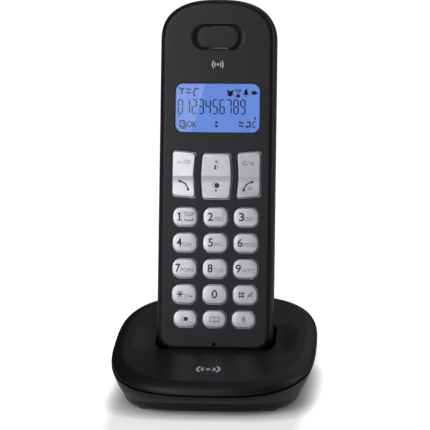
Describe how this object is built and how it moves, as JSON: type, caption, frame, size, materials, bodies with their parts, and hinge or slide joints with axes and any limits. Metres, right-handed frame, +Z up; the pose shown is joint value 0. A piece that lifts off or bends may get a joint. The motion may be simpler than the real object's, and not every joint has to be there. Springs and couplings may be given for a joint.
{
  "type": "cordless phone with base",
  "caption": "Cordless telephone handset with keypad and display, standing in a charging base.",
  "frame": {"origin": "middle of the base's footprint, on the surface it stands on", "axes": "+Z up, -Y the side with the keys and the display, +X to the right seen from the front"},
  "size_m": [0.084, 0.1116, 0.1601],
  "materials": {
    "handset_plastic": "fine satin grain, near black",
    "base_plastic": "smooth semi-gloss, blue-black",
    "silver_key": "silver paint on plastic",
    "window": "clear polished window over a blue lit display",
    "display": "blue backlit display",
    "circuit_board": "green solder mask",
    "rubber": "matt",
    "nickel": "bright nickel plate",
    "speaker_metal": "pressed steel",
    "cell_sleeve": "printed sleeve",
    "screw_steel": "zinc plate"
  },
  "bodies": {
    "base": {"base_top_cover": "base_plastic", "base_bottom_shell": "base_plastic", "base_board": "circuit_board", "line_jack": "base_plastic", "power_jack": "base_plastic", "base_screw_front_left": "screw_steel", "base_screw_front_right": "screw_steel", "base_screw_rear_left": "screw_steel", "base_screw_rear_right": "screw_steel", "foot_front_left": "rubber", "foot_front_right": "rubber", "foot_rear_left": "rubber", "foot_rear_right": "rubber"},
    "handset": {"handset_front_cover": "handset_plastic", "handset_rear_cover": "handset_plastic", "window_lens": "window", "display_module": "display", "earpiece_grille": "handset_plastic", "earpiece_speaker": "speaker_metal", "ringer_speaker": "speaker_metal", "microphone": "speaker_metal", "handset_board": "circuit_board", "keypad_mat": "rubber", "cell_left": "cell_sleeve", "cell_right": "cell_sleeve", "cell_spring_left": "nickel", "cell_spring_right": "nickel", "cell_bridge": "nickel", "charge_plate_left": "nickel", "charge_plate_right": "nickel", "handset_screw_left": "screw_steel", "handset_screw_right": "screw_steel"},
    "battery_door": {"battery_door": "handset_plastic"},
    "key_1": {"key_1": "silver_key"},
    "key_2": {"key_2": "silver_key"},
    "key_3": {"key_3": "silver_key"},
    "key_4": {"key_4": "silver_key"},
    "key_5": {"key_5": "silver_key"},
    "key_6": {"key_6": "silver_key"},
    "key_7": {"key_7": "silver_key"},
    "key_8": {"key_8": "silver_key"},
    "key_9": {"key_9": "silver_key"},
    "key_star": {"key_star": "silver_key"},
    "key_0": {"key_0": "silver_key"},
    "key_hash": {"key_hash": "silver_key"},
    "key_redial": {"key_redial": "silver_key"},
    "key_phonebook": {"key_phonebook": "silver_key"},
    "key_recall": {"key_recall": "silver_key"},
    "key_menu_talk": {"key_menu_talk": "silver_key"},
    "key_navigator": {"key_navigator": "silver_key"},
    "key_clear_end": {"key_clear_end": "silver_key"},
    "page_button": {"page_button": "silver_key"},
    "contact_spring_left": {"contact_spring_left": "nickel"},
    "contact_spring_right": {"contact_spring_right": "nickel"}
  },
  "joints": [
    {"name": "handset_lift", "type": "slide", "parent": "base", "child": "handset", "axis": [0, 0.1771, 0.9842], "range_m": [0, 0.12]},
    {"name": "battery_door_release", "type": "slide", "parent": "handset", "child": "battery_door", "axis": [0, 0.9842, -0.1771], "range_m": [0, 0.012]},
    {"name": "key_1_press", "type": "slide", "parent": "handset", "child": "key_1", "axis": [0, 0.9842, -0.1771], "range_m": [0, 0.0008], "stiffness_N_per_m": 500, "springref_m": -0.0006},
    {"name": "key_2_press", "type": "slide", "parent": "handset", "child": "key_2", "axis": [0, 0.9842, -0.1771], "range_m": [0, 0.0008], "stiffness_N_per_m": 500, "springref_m": -0.0006},
    {"name": "key_3_press", "type": "slide", "parent": "handset", "child": "key_3", "axis": [0, 0.9842, -0.1771], "range_m": [0, 0.0008], "stiffness_N_per_m": 500, "springref_m": -0.0006},
    {"name": "key_4_press", "type": "slide", "parent": "handset", "child": "key_4", "axis": [0, 0.9842, -0.1771], "range_m": [0, 0.0008], "stiffness_N_per_m": 500, "springref_m": -0.0006},
    {"name": "key_5_press", "type": "slide", "parent": "handset", "child": "key_5", "axis": [0, 0.9842, -0.1771], "range_m": [0, 0.0008], "stiffness_N_per_m": 500, "springref_m": -0.0006},
    {"name": "key_6_press", "type": "slide", "parent": "handset", "child": "key_6", "axis": [0, 0.9842, -0.1771], "range_m": [0, 0.0008], "stiffness_N_per_m": 500, "springref_m": -0.0006},
    {"name": "key_7_press", "type": "slide", "parent": "handset", "child": "key_7", "axis": [0, 0.9842, -0.1771], "range_m": [0, 0.0008], "stiffness_N_per_m": 500, "springref_m": -0.0006},
    {"name": "key_8_press", "type": "slide", "parent": "handset", "child": "key_8", "axis": [0, 0.9842, -0.1771], "range_m": [0, 0.0008], "stiffness_N_per_m": 500, "springref_m": -0.0006},
    {"name": "key_9_press", "type": "slide", "parent": "handset", "child": "key_9", "axis": [0, 0.9842, -0.1771], "range_m": [0, 0.0008], "stiffness_N_per_m": 500, "springref_m": -0.0006},
    {"name": "key_star_press", "type": "slide", "parent": "handset", "child": "key_star", "axis": [0, 0.9842, -0.1771], "range_m": [0, 0.0008], "stiffness_N_per_m": 500, "springref_m": -0.0006},
    {"name": "key_0_press", "type": "slide", "parent": "handset", "child": "key_0", "axis": [0, 0.9842, -0.1771], "range_m": [0, 0.0008], "stiffness_N_per_m": 500, "springref_m": -0.0006},
    {"name": "key_hash_press", "type": "slide", "parent": "handset", "child": "key_hash", "axis": [0, 0.9842, -0.1771], "range_m": [0, 0.0008], "stiffness_N_per_m": 500, "springref_m": -0.0006},
    {"name": "key_redial_press", "type": "slide", "parent": "handset", "child": "key_redial", "axis": [0, 0.9842, -0.1771], "range_m": [0, 0.0008], "stiffness_N_per_m": 500, "springref_m": -0.0006},
    {"name": "key_phonebook_press", "type": "slide", "parent": "handset", "child": "key_phonebook", "axis": [0, 0.9842, -0.1771], "range_m": [0, 0.0008], "stiffness_N_per_m": 500, "springref_m": -0.0006},
    {"name": "key_recall_press", "type": "slide", "parent": "handset", "child": "key_recall", "axis": [0, 0.9842, -0.1771], "range_m": [0, 0.0008], "stiffness_N_per_m": 500, "springref_m": -0.0006},
    {"name": "key_menu_talk_tilt", "type": "hinge", "parent": "handset", "child": "key_menu_talk", "pos_m": [-0.0134, 0.00565, 0.08839], "axis": [1, 0, 0], "range_deg": [-3, 3], "stiffness_Nm_per_rad": 0.1},
    {"name": "key_navigator_tilt", "type": "hinge", "parent": "handset", "child": "key_navigator", "pos_m": [0, 0.00565, 0.08839], "axis": [1, 0, 0], "range_deg": [-3, 3], "stiffness_Nm_per_rad": 0.1},
    {"name": "key_clear_end_tilt", "type": "hinge", "parent": "handset", "child": "key_clear_end", "pos_m": [0.0134, 0.00565, 0.08839], "axis": [1, 0, 0], "range_deg": [-3, 3], "stiffness_Nm_per_rad": 0.1},
    {"name": "page_button_press", "type": "slide", "parent": "base", "child": "page_button", "axis": [0, -1, 0], "range_m": [0, 0.001], "stiffness_N_per_m": 500, "springref_m": -0.0006},
    {"name": "contact_spring_left_travel", "type": "slide", "parent": "base", "child": "contact_spring_left", "axis": [0, -0.1771, -0.9842], "range_m": [0, 0.0008], "stiffness_N_per_m": 600, "springref_m": -0.0005},
    {"name": "contact_spring_right_travel", "type": "slide", "parent": "base", "child": "contact_spring_right", "axis": [0, -0.1771, -0.9842], "range_m": [0, 0.0008], "stiffness_N_per_m": 600, "springref_m": -0.0005}
  ]
}
